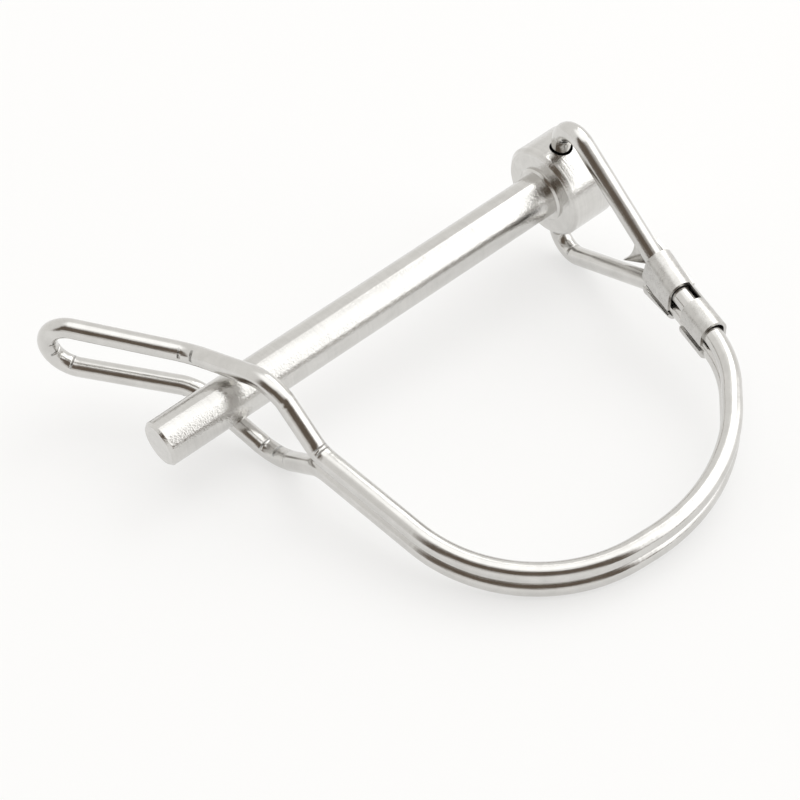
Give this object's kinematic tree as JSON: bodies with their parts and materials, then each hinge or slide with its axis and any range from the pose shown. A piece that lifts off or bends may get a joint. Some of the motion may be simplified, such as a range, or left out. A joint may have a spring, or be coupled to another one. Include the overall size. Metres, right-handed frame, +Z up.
{
  "type": "wire lock pin",
  "caption": "Pin with a collar head and a hinged spring wire bail that swings round and snaps over the pin's tip to lock it.",
  "frame": {"origin": "centre of the shank's foot, where the shank leaves the small shoulder in front of the collar", "axes": "+Z up from the surface it lies on; the pin lies in the X-Z plane with its tip towards -X and slightly down; the bail's bow lies towards -Y"},
  "size_m": [0.0707, 0.0723, 0.0237],
  "materials": {
    "turned_steel": "bright turned stainless steel, with fine turning marks and light scratches along the shank",
    "spring_wire": "smooth drawn stainless spring wire, almost mirror bright",
    "sheet_steel": "satin sheet steel, slightly blotchy"
  },
  "bodies": {
    "pin": {"pin": "turned_steel"},
    "bail": {"wire_bail": "spring_wire", "clip": "sheet_steel"}
  },
  "joints": [
    {"name": "bail_hinge", "type": "hinge", "parent": "pin", "child": "bail", "pos_m": [0.00369, 0, 0.00025], "axis": [-0.0668, -0.1542, 0.9858], "range_deg": [-8, 255], "deforming": ["wire_bail"]}
  ]
}
